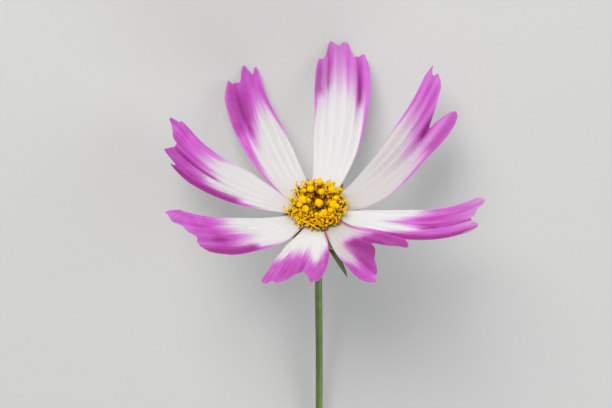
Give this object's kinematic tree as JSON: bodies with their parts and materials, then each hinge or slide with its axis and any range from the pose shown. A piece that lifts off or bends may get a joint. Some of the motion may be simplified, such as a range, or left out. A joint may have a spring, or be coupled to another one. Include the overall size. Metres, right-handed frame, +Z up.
{
  "type": "cosmos flower",
  "caption": "Cut cosmos flower lying down: toothed white petals with purple tips, a yellow disc, green bracts and a bare bent stem.",
  "frame": {"origin": "middle of the bounding box, on the surface that the flower lies on", "axes": "+Z up; +Y along the stem from its cut end towards the head; +X across"},
  "size_m": [0.0694, 0.143, 0.0567],
  "materials": {
    "petal": "thin soft matt petal, white with magenta purple tips and edges",
    "floret": "matt golden yellow florets with dark brown anthers",
    "bract": "soft matt leaf green",
    "stem": "smooth slightly waxy green, ribbed lengthwise"
  },
  "bodies": {
    "root": {"stem": "stem", "calyx": "bract", "disc": "floret", "petal_1": "petal", "petal_2": "petal", "petal_3": "petal", "petal_4": "petal", "petal_5": "petal", "petal_6": "petal", "petal_7": "petal", "petal_8": "petal"}
  },
  "joints": []
}
